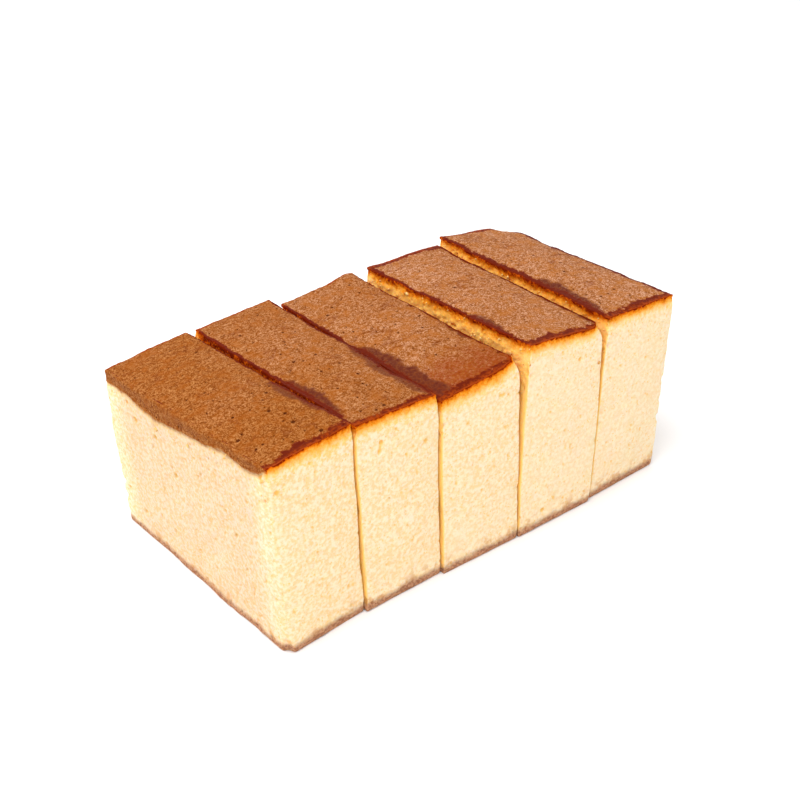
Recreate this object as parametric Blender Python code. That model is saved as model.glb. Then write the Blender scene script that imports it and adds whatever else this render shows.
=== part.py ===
"""Castella sponge loaf cut into five upright slices that still stand together in a row.

Metres, +Z up. The row runs along X and each slice's length along Y. The origin is the centre of the
row's footprint, on the surface that the slices stand on.
"""
from dataclasses import dataclass
import math

import bmesh
import bpy
import numpy as np

MM = 0.001

ROW_NAME = "sliced_castella_sponge_cake"

# Driving sizes of the loaf that the slices were cut from.
LOAF_LENGTH = 88.0 * MM
LOAF_HEIGHT = 70.0 * MM
CUT_THICKNESS = 32.0 * MM

# Radii of a slice's rounded edges.
UPRIGHT_RADIUS = 2.0 * MM
TOP_RADIUS = 1.5 * MM
BASE_RADIUS = 2.6 * MM

# How far the browned top and the two narrow ends stand out at their middles.
TOP_CROWN = 1.4 * MM
END_SWELL = 0.9 * MM

# Cells of the surface grid between the rounded edges, across, along and up the slice.
INNER_CELLS = (3, 8, 6)
ROUND_CELLS = 2

SPONGE_COLOUR = (0.94, 0.68, 0.27, 1.0)
SPONGE_ROUGHNESS = 0.85
CRUST_COLOUR = (0.42, 0.17, 0.055, 1.0)
CRUST_ROUGHNESS = 0.6
CRUST_SLOT = 1
CRUST_START = 0.965


@dataclass(frozen=True)
class Slice:
    """One slice as it was cut and set down. Lengths are in metres and the turn is in degrees.

    Extras are added to the loaf's own sizes. The lean is how far the top stands to the right of
    the base, and the front slope is how far the front end falls back at the top. The last four
    fields are the heights of the top's corners.
    """

    gap_before: float
    extra_thickness: float
    extra_length: float
    longer_left: float
    offset_y: float
    turn: float
    lean: float
    front_slope: float
    front_left: float
    front_right: float
    back_left: float
    back_right: float

    @property
    def thickness(self):
        """Width across the slice, along the row."""
        return CUT_THICKNESS + self.extra_thickness

    @property
    def length(self):
        """Size from the front end to the back end."""
        return LOAF_LENGTH + self.extra_length


SLICES = (
    Slice(gap_before=0.0, extra_thickness=-1.0 * MM, extra_length=4.2 * MM, longer_left=4.0 * MM,
          offset_y=2.8 * MM, turn=1.1, lean=-2.3 * MM, front_slope=1.2 * MM,
          front_left=70.1 * MM, front_right=72.2 * MM, back_left=62.2 * MM,
          back_right=66.3 * MM),
    Slice(gap_before=0.7 * MM, extra_thickness=-0.9 * MM, extra_length=1.7 * MM,
          longer_left=-0.4 * MM, offset_y=1.8 * MM, turn=0.7, lean=-1.5 * MM,
          front_slope=1.5 * MM, front_left=71.3 * MM, front_right=69.7 * MM,
          back_left=67.0 * MM, back_right=67.7 * MM),
    Slice(gap_before=1.1 * MM, extra_thickness=0.0, extra_length=1.2 * MM,
          longer_left=-1.4 * MM, offset_y=0.0, turn=-0.1, lean=-0.4 * MM,
          front_slope=1.7 * MM, front_left=67.1 * MM, front_right=71.0 * MM,
          back_left=66.1 * MM, back_right=67.0 * MM),
    Slice(gap_before=1.7 * MM, extra_thickness=1.2 * MM, extra_length=-1.7 * MM,
          longer_left=-0.5 * MM, offset_y=-2.3 * MM, turn=-0.6, lean=1.0 * MM,
          front_slope=-0.3 * MM, front_left=75.9 * MM, front_right=71.3 * MM,
          back_left=70.3 * MM, back_right=69.0 * MM),
    Slice(gap_before=1.8 * MM, extra_thickness=0.5 * MM, extra_length=-2.7 * MM,
          longer_left=1.8 * MM, offset_y=-1.6 * MM, turn=-0.2, lean=0.9 * MM,
          front_slope=-1.9 * MM, front_left=74.1 * MM, front_right=71.4 * MM,
          back_left=71.7 * MM, back_right=66.5 * MM),
)


def clear_objects():
    """Remove everything that the start-up file put in the scene."""
    for item in list(bpy.data.objects):
        bpy.data.objects.remove(item, do_unlink=True)


def finish(name, colour, roughness):
    """Return a material with one colour and roughness."""
    material = bpy.data.materials.new(name)
    material.use_nodes = True
    shader = material.node_tree.nodes["Principled BSDF"]
    shader.inputs["Base Color"].default_value = colour
    shader.inputs["Roughness"].default_value = roughness
    material.diffuse_color = colour
    return material


def stations(size, low_radius, high_radius, inner_cells):
    """Return rising grid positions from 0 to size, closer together where both edges are rounded.

    A rounded edge's lines stand at equal angles of its arc, which is the tangent of the angle
    across the corner's margin.
    """
    angles = np.linspace(math.pi / 4, 0.0, ROUND_CELLS + 1)
    margin = 1.0 - np.tan(angles)
    low = low_radius * margin
    high = size - high_radius * margin[::-1]
    inner = np.linspace(low[-1], high[0], inner_cells + 1)
    return np.concatenate([low[:-1], inner, high[1:]])


def gridded_box(lines):
    """Return a closed bmesh box whose faces are cut along the given X, Y and Z grid lines."""
    mesh = bmesh.new()
    bmesh.ops.create_cube(mesh, size=2.0)
    for axis, places in enumerate(lines):
        along = [edge for edge in mesh.edges
                 if abs(edge.verts[0].co[axis] - edge.verts[1].co[axis]) > 1.0]
        bmesh.ops.subdivide_edges(mesh, edges=along, cuts=len(places) - 2, use_grid_fill=True)
    for vertex in mesh.verts:
        for axis, places in enumerate(lines):
            even = np.linspace(-1.0, 1.0, len(places))
            vertex.co[axis] = np.interp(vertex.co[axis], even, places)
    return mesh


def rounded(points, size):
    """Move points on a box's surface onto the same box with rounded edges.

    Each point is measured from the nearest point of the box shrunk by the radii, and drawn in
    to a unit distance from it in radii.
    """
    radii = np.array([UPRIGHT_RADIUS, UPRIGHT_RADIUS, BASE_RADIUS])
    low = radii.copy()
    high = np.array(size) - radii
    high[2] = size[2] - TOP_RADIUS
    inner = np.clip(points, low, high)
    spread = np.tile(radii, (len(points), 1))
    spread[points[:, 2] > high[2], 2] = TOP_RADIUS
    away = (points - inner) / spread
    away /= np.linalg.norm(away, axis=1)[:, None]
    return inner + away * spread


def set_down(points, piece):
    """Give a rounded upright box the slice's own slopes, lean, taper and swelling.

    across, along and up run over the slice from -1 to 1, -1 to 1 and 0 to 1. The top blends the
    four corner heights and rises to a crown that falls to nothing at the cut edges.
    """
    across = 2.0 * points[:, 0] / piece.thickness - 1.0
    along = 2.0 * points[:, 1] / piece.length - 1.0
    up = points[:, 2] / LOAF_HEIGHT
    front = piece.front_left * (1 - across) / 2 + piece.front_right * (1 + across) / 2
    back = piece.back_left * (1 - across) / 2 + piece.back_right * (1 + across) / 2
    height = front * (1 - along) / 2 + back * (1 + along) / 2
    dome = TOP_CROWN * (1 - across ** 2) * (1 - along ** 2)
    belly = END_SWELL * (1 - across ** 2) * 4 * up * (1 - up)
    length = piece.length - piece.longer_left * across / 2 + 2 * belly
    placed = np.empty_like(points)
    placed[:, 0] = piece.thickness * across / 2 + piece.lean * up
    placed[:, 1] = length * along / 2 + piece.front_slope * up * (1 - along) / 2
    placed[:, 2] = up * (height + dome * up ** 4)
    return placed


def slice_mesh(name, piece):
    """Return the mesh of one slice, standing on Z = 0 about its own upright axis."""
    size = (piece.thickness, piece.length, LOAF_HEIGHT)
    lines = (
        stations(size[0], UPRIGHT_RADIUS, UPRIGHT_RADIUS, INNER_CELLS[0]),
        stations(size[1], UPRIGHT_RADIUS, UPRIGHT_RADIUS, INNER_CELLS[1]),
        stations(size[2], BASE_RADIUS, TOP_RADIUS, INNER_CELLS[2]),
    )
    box = gridded_box(lines)
    points = np.array([vertex.co for vertex in box.verts], dtype=np.float64)
    shaped = set_down(rounded(points, size), piece)
    for vertex, place in zip(box.verts, shaped):
        vertex.co = place
    for face in box.faces:
        lowest = min(vertex.co.z for vertex in face.verts)
        if lowest > CRUST_START * min(piece.back_left, piece.back_right, piece.front_left,
                                      piece.front_right):
            face.material_index = CRUST_SLOT
    mesh = bpy.data.meshes.new(name)
    box.to_mesh(mesh)
    box.free()
    mesh.shade_smooth()
    return mesh


def build_row():
    """Build every slice, set the slices side by side and centre the row on the origin."""
    collection = bpy.data.collections.new(ROW_NAME)
    bpy.context.scene.collection.children.link(collection)
    objects = []
    edge = 0.0
    for number, piece in enumerate(SLICES, start=1):
        name = f"slice_{number}"
        mesh = slice_mesh(name, piece)
        mesh.materials.append(finish(f"sponge_{number}", SPONGE_COLOUR, SPONGE_ROUGHNESS))
        mesh.materials.append(finish(f"crust_{number}", CRUST_COLOUR, CRUST_ROUGHNESS))
        item = bpy.data.objects.new(name, mesh)
        collection.objects.link(item)
        edge += piece.gap_before + piece.thickness / 2
        item.location = (edge, piece.offset_y, 0.0)
        item.rotation_euler.z = math.radians(piece.turn)
        edge += piece.thickness / 2
        objects.append(item)
    centre_row(objects)


def centre_row(objects):
    """Shift the slices so that the middle of the row's footprint is at the origin."""
    bpy.context.view_layer.update()
    corners = np.array([item.matrix_world @ vertex.co for item in objects
                        for vertex in item.data.vertices])
    middle = (corners.min(axis=0) + corners.max(axis=0)) / 2
    for item in objects:
        item.location.x -= middle[0]
        item.location.y -= middle[1]


clear_objects()
build_row()
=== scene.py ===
"""Five slices of castella sponge cake that stand close together in a row.

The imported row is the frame. Each plain solid is replaced by a fine closed surface of the same size,
with a browned, pitted skin on top, cut sponge on its four sides and a thin baked base. Every length
in this file is in millimetres unless a name says otherwise, and MM turns it into metres.
"""
from __future__ import annotations

import logging
import math
from dataclasses import dataclass, field
from enum import Enum, IntEnum

import bpy
import numpy as np
from mathutils import Matrix, Vector

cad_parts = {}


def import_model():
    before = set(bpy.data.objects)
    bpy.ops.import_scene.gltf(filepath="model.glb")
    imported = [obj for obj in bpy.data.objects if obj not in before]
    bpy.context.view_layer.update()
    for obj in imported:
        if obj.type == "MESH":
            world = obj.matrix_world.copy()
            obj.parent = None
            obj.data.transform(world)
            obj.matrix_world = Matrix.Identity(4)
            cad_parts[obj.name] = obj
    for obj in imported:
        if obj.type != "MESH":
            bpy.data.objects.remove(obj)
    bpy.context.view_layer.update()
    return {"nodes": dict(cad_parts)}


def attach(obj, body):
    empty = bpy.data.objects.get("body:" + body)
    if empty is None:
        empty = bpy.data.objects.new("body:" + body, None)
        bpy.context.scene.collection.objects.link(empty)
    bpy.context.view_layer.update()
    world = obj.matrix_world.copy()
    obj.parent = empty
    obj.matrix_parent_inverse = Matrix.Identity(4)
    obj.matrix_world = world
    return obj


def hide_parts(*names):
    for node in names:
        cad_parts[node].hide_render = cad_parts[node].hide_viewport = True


MM = 0.001
BODY = "root"

log = logging.getLogger("castella")

Colour = tuple[float, float, float, float]


def shade(red: int, green: int, blue: int) -> Colour:
    """Return a linear colour from the red, green and blue that a screen would show, 0 to 255.

    Args:
        red: Screen red.
        green: Screen green.
        blue: Screen blue.

    Returns:
        Linear red, green, blue and full opacity.
    """
    linear = [((level / 255 + 0.055) / 1.055) ** 2.4 if level > 10 else level / 3294
              for level in (red, green, blue)]
    return linear[0], linear[1], linear[2], 1.0


def ease(value: np.ndarray, start: float, end: float) -> np.ndarray:
    """Return 0 before start and 1 after end, joined by the curve 3t² − 2t³.

    Args:
        value: Numbers to grade.
        start: Where the rise begins, which may be the larger of the two.
        end: Where the rise is complete.

    Returns:
        The graded numbers, 0 to 1.
    """
    part = np.clip((value - start) / (end - start), 0.0, 1.0)
    return part * part * (3 - 2 * part)


# --------------------------------------------------------------------------------------------
# Repeatable unevenness


@dataclass(frozen=True)
class Grain:
    """Uneven patterns in space that come out the same every time.

    Attributes:
        seed: Number that sets one pattern apart from the others.
    """

    seed: int

    def chance(self, cell: np.ndarray, draw: int = 0) -> np.ndarray:
        """Return one even chance, 0 to 1, for each cell of space.

        The cell's three whole numbers are multiplied by odd constants, joined, and stirred by
        two rounds of shifting and multiplying.

        Args:
            cell: Whole numbers, three in each row.
            draw: Which of the cell's chances is wanted.

        Returns:
            One number for each row.
        """
        whole = cell.astype(np.int64).astype(np.uint32)
        mixed = (whole[..., 0] * np.uint32(374761393) ^ whole[..., 1] * np.uint32(668265263)
                 ^ whole[..., 2] * np.uint32(2147483647)
                 ^ np.uint32((self.seed * 3266489917 + draw * 2654435761) % 2 ** 32))
        for shift in (15, 13):
            mixed = (mixed ^ (mixed >> np.uint32(shift))) * np.uint32(2246822519)
        return (mixed ^ (mixed >> np.uint32(16))) / 2 ** 32

    def smooth(self, points: np.ndarray, size: float) -> np.ndarray:
        """Return soft lumps, −1 to 1, about as wide as the given size.

        Space is cut into cubes with a chance at each corner, and the eight corners are blended
        by the curve 3t² − 2t³ along each side. The cubes are turned, so that no row of them
        lines up with a face of the cake.

        Args:
            points: Places, three numbers in each row.
            size: Side of a cube.

        Returns:
            One number for each row.
        """
        turned = points @ TURNED / size + 0.37 * self.seed
        low = np.floor(turned)
        part = turned - low
        part = part * part * (3 - 2 * part)
        total = np.zeros(len(points))
        for corner in np.ndindex(2, 2, 2):
            share = np.prod(np.where(corner, part, 1 - part), axis=1)
            total += share * self.chance(low + corner)
        return 2 * total - 1

    def layered(self, points: np.ndarray, size: float, layers: int = 3) -> np.ndarray:
        """Return soft lumps with finer ones on them, each layer half as wide and high.

        Args:
            points: Places, three numbers in each row.
            size: Width of the broadest lumps.
            layers: How many sizes of lump are added up.

        Returns:
            One number for each row, about −1 to 1.
        """
        total = np.zeros(len(points))
        for layer in range(layers):
            finer = 0.5 ** layer
            total += finer * Grain(self.seed + 17 * layer).smooth(points, size * finer)
        return total

    def pits(self, points: np.ndarray, size: float, share: float, small: float,
             large: float) -> np.ndarray:
        """Return how deep each point lies in a round hollow, 0 outside and 1 in the middle.

        Space is cut into cubes. A share of them hold one ball each, at a chance place and of a
        chance radius, and inside a ball the depth is 1 − (distance / radius)². Of the balls in
        the 27 nearest cubes, the one that goes deepest counts.

        Args:
            points: Places, three numbers in each row.
            size: Side of a cube.
            share: Part of the cubes that hold a ball.
            small: Smallest radius, as a part of the cube's side.
            large: Largest radius, as a part of the cube's side.

        Returns:
            One number for each row.
        """
        turned = points @ TURNED / size
        low = np.floor(turned)
        deepest = np.zeros(len(points))
        for step in np.ndindex(3, 3, 3):
            cell = low + step - 1
            middle = cell + np.stack([self.chance(cell, draw) for draw in (1, 2, 3)], axis=1)
            radius = small + (large - small) * self.chance(cell, 4) ** 2
            apart = ((turned - middle) ** 2).sum(axis=1) / radius ** 2
            held = self.chance(cell, 5) < share
            deepest = np.maximum(deepest, np.where(held, 1 - apart, 0.0))
        return deepest


TURNED = np.array(Matrix.Rotation(0.7, 3, "X") @ Matrix.Rotation(0.5, 3, "Y")
                  @ Matrix.Rotation(0.9, 3, "Z"))


class Pattern(IntEnum):
    """The chance patterns of a slice, each so many steps from the slice's own seed."""

    SWELL = 0
    CRUMB = 1
    PORES = 2
    HOLES = 3
    CHIPS = 4
    WAVES = 5
    WRINKLES = 6
    PINHOLES = 7
    FLECKS = 8
    BROAD_BORDER = 9
    FINE_BORDER = 10
    PALE_PATCHES = 11
    SMALL_CLUMPS = 12
    LARGE_CLUMPS = 13
    POCKS = 14
    SETTLED_EDGE = 15


@dataclass(frozen=True)
class Balls:
    """Balls scattered through space, which mark round hollows or clumps where they meet a face.

    Attributes:
        pattern: Their chance pattern.
        size: Side of the cubes that may hold one ball each, in millimetres.
        share: Part of the cubes that hold one.
        small: Smallest radius, as a part of the cube's side.
        large: Largest radius, as a part of the cube's side.
    """

    pattern: Pattern
    size: float
    share: float
    small: float
    large: float

    def amount(self, points: np.ndarray, seed: int) -> np.ndarray:
        """Return how deep each point lies in a ball, 0 outside and 1 in the middle.

        Args:
            points: Places in millimetres, three numbers in each row.
            seed: The slice's own seed.

        Returns:
            One number for each row.
        """
        grain = Grain(seed + self.pattern)
        return grain.pits(points, self.size, self.share, self.small, self.large)


# --------------------------------------------------------------------------------------------
# The surface of one slice


@dataclass(frozen=True)
class BoxGrid:
    """A closed box surface that three sets of lines cut into four-sided cells.

    Attributes:
        lines: Rising positions of the lines across, along and up the box.
    """

    lines: tuple[np.ndarray, np.ndarray, np.ndarray]

    def build(self) -> tuple[np.ndarray, np.ndarray]:
        """Return the grid's points and its cells, which face outwards.

        Each of the six sides is a sheet of grid points numbered by their three line numbers, so
        that the sheets share the points along their common edges.

        Returns:
            Points, three numbers in each row, and cells, four point numbers in each row.
        """
        counts = [len(places) for places in self.lines]
        cells = []
        for axis in range(3):
            second, third = (axis + 1) % 3, (axis + 2) % 3
            for end in (0, counts[axis] - 1):
                place = np.empty((counts[second], counts[third], 3), dtype=np.int64)
                place[..., axis] = end
                place[..., second] = np.arange(counts[second])[:, None]
                place[..., third] = np.arange(counts[third])[None, :]
                key = (place[..., 0] * counts[1] + place[..., 1]) * counts[2] + place[..., 2]
                ring = [key[:-1, :-1], key[1:, :-1], key[1:, 1:], key[:-1, 1:]]
                if end == 0:
                    ring.reverse()
                cells.append(np.stack(ring, axis=-1).reshape(-1, 4))
        used, quads = np.unique(np.concatenate(cells), return_inverse=True)
        number = np.stack(np.unravel_index(used, counts), axis=1)
        points = np.stack([self.lines[axis][number[:, axis]] for axis in range(3)], axis=1)
        return points, quads.reshape(-1, 4)


def facing(points: np.ndarray, quads: np.ndarray) -> np.ndarray:
    """Return the outward direction at each point of a closed surface.

    A cell's direction is the cross product of its diagonals, and a point takes the sum of the
    directions of the cells that meet there, at unit length.

    Args:
        points: Places, three numbers in each row.
        quads: Cells, four point numbers in each row.

    Returns:
        Unit directions, three numbers in each row.
    """
    a, b, c, d = (points[quads[:, corner]] for corner in range(4))
    flat = np.cross(c - a, d - b)
    total = np.stack([np.bincount(quads.ravel(), np.repeat(flat[:, axis], 4), len(points))
                      for axis in range(3)], axis=1)
    return total / np.linalg.norm(total, axis=1, keepdims=True)


def surface_object(name: str, points: np.ndarray, faces: np.ndarray) -> bpy.types.Object:
    """Return a smooth-shaded object from points in millimetres.

    Args:
        name: The object's name.
        points: Places in millimetres, three numbers in each row.
        faces: Point numbers of each face, one face in each row.

    Returns:
        The new object, linked to the scene, with its place in its mesh.
    """
    mesh = bpy.data.meshes.new(name)
    mesh.from_pydata((points * MM).tolist(), [], faces.tolist())
    mesh.shade_smooth()
    item = bpy.data.objects.new(name, mesh)
    bpy.context.scene.collection.objects.link(item)
    return item


def paint(item: bpy.types.Object, name: str, values: np.ndarray) -> None:
    """Store one number for each point of an object, for its finish to read.

    Args:
        item: Object whose points are painted.
        name: Name of the attribute.
        values: One number for each point.
    """
    attribute = item.data.attributes.new(name, "FLOAT", "POINT")
    attribute.data.foreach_set("value", values.astype(np.float32))


class Side(Enum):
    """A long edge of a slice's top."""

    LEFT = -1
    RIGHT = 1


@dataclass(frozen=True)
class Stain:
    """A dark, damp patch that has soaked in from a long edge of the skin.

    Attributes:
        side: The edge that it came in from.
        outline: Places along the edge, −1 front to 1 back, each with how far in it reaches, as
            a part of half the slice's thickness.
        depth: How dark it is, 0 to 1.
    """

    side: Side
    outline: tuple[tuple[float, float], ...]
    depth: float = 1.0

    def amount(self, across: np.ndarray, along: np.ndarray, ragged: np.ndarray) -> np.ndarray:
        """Return how stained each point is.

        The reach is read off the outline at the point's place along the edge, and the stain
        fades over a soft, ragged border as the distance from the edge passes it.

        Args:
            across: −1 at the left edge to 1 at the right.
            along: −1 at the front to 1 at the back.
            ragged: Unevenness of the border, about −1 to 1.

        Returns:
            One number for each point, 0 to 1.
        """
        places, reaches = zip(*sorted(self.outline))
        reach = np.interp(along, places, reaches, left=-0.2, right=-0.2)
        inside = reach - (1 - self.side.value * across)
        return self.depth * ease(inside + 0.05 * ragged, -0.06, 0.05)


@dataclass(frozen=True)
class Nudge:
    """A place where a slice swells, dips or bends away from its plain form.

    Attributes:
        centre: Where, across and along from −1 to 1 and up from 0 to 1.
        reach: How far it carries in those directions, in the same units.
        move: The greatest movement, in millimetres.
    """

    centre: tuple[float, float, float]
    reach: tuple[float, float, float]
    move: tuple[float, float, float]

    def shift(self, unit: np.ndarray) -> np.ndarray:
        """Return the movement at each point, which falls off as a bell curve of distance.

        Args:
            unit: Places across, along and up, three numbers in each row.

        Returns:
            Movements in millimetres, three numbers in each row.
        """
        apart = (unit - np.array(self.centre)) / np.array(self.reach)
        return np.exp(-(apart ** 2).sum(axis=1))[:, None] * np.array(self.move)


@dataclass(frozen=True)
class Worn:
    """A place on the top where the skin has worn back and bare sponge shows.

    Attributes:
        centre: Where, across and along from −1 to 1.
        reach: How far it carries in those directions, in millimetres.
        width: How far the skin has worn back there, in millimetres.
    """

    centre: tuple[float, float]
    reach: tuple[float, float]
    width: float

    def bare(self, unit: np.ndarray, spans: np.ndarray) -> np.ndarray:
        """Return how far the skin has worn back, which falls off as a bell curve of distance.

        Args:
            unit: Places across, along and up, three numbers in each row.
            spans: The slice's thickness, length and height in millimetres.

        Returns:
            Widths in millimetres, one for each point.
        """
        apart = (unit[:, :2] - np.array(self.centre)) * spans[:2] / 2 / np.array(self.reach)
        return self.width * np.exp(-(apart ** 2).sum(axis=1))


@dataclass(frozen=True)
class Look:
    """What sets one slice's surface apart from its neighbours.

    Attributes:
        seed: Number of its chance patterns.
        cuts: Numbers of the knife's two cuts, left and right, each shared with a neighbour.
        front_rim: Width of the dark baked band along the front of the top.
        back_rim: Width of the dark band along the back of the top.
        side_rim: Width of the dark line along the two long edges of the top.
        side_browning: How deep the browning goes on the long cut faces, as a part of what is
            usual.
        front_browning: The same on the front end.
        skin_fold: Places along the left edge, −1 front to 1 back, each with how far the skin
            folds down over the cut face there.
        flush: How red the front end of the skin is, 0 to 1.
        open_side: The long face that has no neighbour, if any.
        torn: How crumbly the upper part of the left cut face is, 0 to 1.
        pitted: How many large pinholes there are near the front of the skin, 0 to 1.
        pale: How pale the skin looks, 0 deep brown to 1 pale: a painted sheen of hazy reflected
            light.
        stains: Damp patches.
        nudges: Swellings and dips.
        worn: Places where the skin has worn back from an edge or a corner.
    """

    seed: int
    cuts: tuple[int, int]
    front_rim: float = 3.2
    back_rim: float = 0.8
    side_rim: float = 0.6
    side_browning: float = 1.0
    front_browning: float = 0.45
    skin_fold: tuple[tuple[float, float], ...] = ((-1.0, 0.0), (1.0, 0.0))
    flush: float = 0.0
    open_side: Side | None = None
    torn: float = 0.0
    pitted: float = 0.0
    # Painted sheen on the skin and painted haze on the cut faces, strongest on the right-hand slices.
    pale: float = 0.5
    stains: tuple[Stain, ...] = ()
    nudges: tuple[Nudge, ...] = ()
    worn: tuple[Worn, ...] = ()


LOOKS = {
    "slice_1": Look(
        seed=11, cuts=(81, 82), front_rim=4.4, side_rim=0.9, front_browning=0.75,
        open_side=Side.LEFT, pitted=1.0, pale=0.0,
        skin_fold=((-1.0, 0.4), (-0.93, 2.2), (-0.78, 3.8), (-0.5, 2.6), (-0.2, 4.4), (0.1, 5.8),
                   (0.31, 6.8), (0.7, 4.6), (1.0, 4.4)),
        stains=(Stain(Side.RIGHT, ((-0.1, 0.0), (-0.14, 0.18), (-0.38, 0.27), (-0.52, 0.21),
                                   (-0.71, 0.13), (-0.88, 0.0)), 0.75),),
        nudges=(Nudge((-1.0, 0.7, 0.8), (0.6, 0.6, 0.25), (-0.8, 0.0, 0.0)),
                Nudge((-1.0, -1.0, 0.0), (0.12, 0.05, 0.06), (1.3, 1.3, 0.9)),
                Nudge((-1.0, -1.0, 0.5), (0.14, 0.05, 3.0), (0.7, 0.7, 0.0)),
                Nudge((1.0, -1.0, 0.8), (0.5, 0.45, 0.95), (1.05, 0.0, 0.0))),
        worn=(Worn((-1.0, -1.0), (14.0, 3.0), 1.4),),
    ),
    "slice_2": Look(
        seed=23, cuts=(82, 83), front_rim=3.2, side_rim=1.2, side_browning=2.8,
        front_browning=0.7, pitted=0.6, pale=0.28,
        stains=(Stain(Side.LEFT, ((-0.15, 0.0), (-0.21, 0.19), (-0.31, 0.24), (-0.5, 0.27),
                                  (-0.68, 0.22), (-0.8, 0.13), (-0.9, 0.08))),
                Stain(Side.RIGHT, ((0.1, 0.0), (-0.09, 0.13), (-0.28, 0.24), (-0.46, 0.30),
                                   (-0.62, 0.25), (-0.86, 0.25), (-1.0, 0.15)), 0.75)),
        nudges=(Nudge((-1.0, -1.0, 0.45), (0.5, 0.45, 0.6), (0.75, 0.0, 0.0)),
                Nudge((1.0, -1.0, 0.8), (0.5, 0.4, 0.35), (1.1, 0.0, 0.0)),
                Nudge((1.0, -1.0, 0.5), (0.5, 0.4, 2.0), (0.3, 0.0, 0.0))),
    ),
    "slice_3": Look(
        seed=37, cuts=(83, 84), front_rim=4.4, side_rim=1.1, side_browning=2.8,
        front_browning=0.8, flush=0.85, pitted=0.3, pale=0.5,
        stains=(Stain(Side.LEFT, ((0.3, 0.0), (0.04, 0.06), (-0.11, 0.22), (-0.31, 0.31),
                                  (-0.55, 0.33), (-0.7, 0.37), (-0.84, 0.43), (-1.0, 0.46))),
                Stain(Side.RIGHT, ((-0.17, 0.0), (-0.3, 0.13), (-0.45, 0.14), (-0.58, 0.0)),
                      0.9)),
        nudges=(Nudge((0.75, 1.0, 1.0), (0.35, 0.22, 0.3), (0.0, 0.0, 1.3)),
                Nudge((-1.0, -1.0, 0.8), (0.5, 0.4, 0.35), (0.4, 0.0, 0.0)),
                Nudge((1.0, -1.0, 0.35), (0.5, 0.4, 0.5), (0.8, 0.0, 0.0)),
                Nudge((1.0, -1.0, 1.0), (0.16, 0.06, 0.05), (-1.3, 1.3, -0.5))),
        worn=(Worn((1.0, -1.0), (5.0, 5.0), 3.0),),
    ),
    "slice_4": Look(
        seed=41, cuts=(84, 85), front_rim=3.8, back_rim=3.6, side_rim=1.7,
        front_browning=0.7, torn=1.0, pale=0.8,
        stains=(Stain(Side.LEFT, ((-0.2, 0.0), (-0.3, 0.12), (-0.5, 0.2), (-0.62, 0.18),
                                  (-0.72, 0.0))),
                Stain(Side.RIGHT, ((-0.15, 0.0), (-0.25, 0.12), (-0.6, 0.13), (-0.92, 0.12)))),
        nudges=(Nudge((1.0, -1.0, 1.0), (0.16, 0.06, 0.05), (-1.1, 1.1, -0.5)),
                Nudge((-1.0, -1.0, 0.4), (0.5, 0.3, 0.5), (-0.6, 0.0, 0.0)),
                Nudge((1.0, -1.0, 0.4), (0.5, 0.3, 0.6), (0.6, 0.0, 0.0))),
        worn=(Worn((1.0, -1.0), (3.5, 4.0), 2.2),),
    ),
    "slice_5": Look(
        seed=59, cuts=(85, 86), front_rim=3.8, back_rim=2.6, side_rim=2.4,
        side_browning=0.9, front_browning=0.7, open_side=Side.RIGHT, torn=1.0, pale=0.95,
        stains=(Stain(Side.LEFT, ((-0.1, 0.0), (-0.22, 0.22), (-0.36, 0.3), (-0.5, 0.24),
                                  (-0.66, 0.28), (-0.8, 0.2), (-0.95, 0.08))),),
        nudges=(Nudge((1.0, 1.0, 1.0), (0.3, 0.14, 0.2), (-1.6, -1.0, -1.4)),
                Nudge((-1.0, -1.0, 0.4), (0.5, 0.3, 0.5), (-0.6, 0.0, 0.0))),
    ),
}


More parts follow.
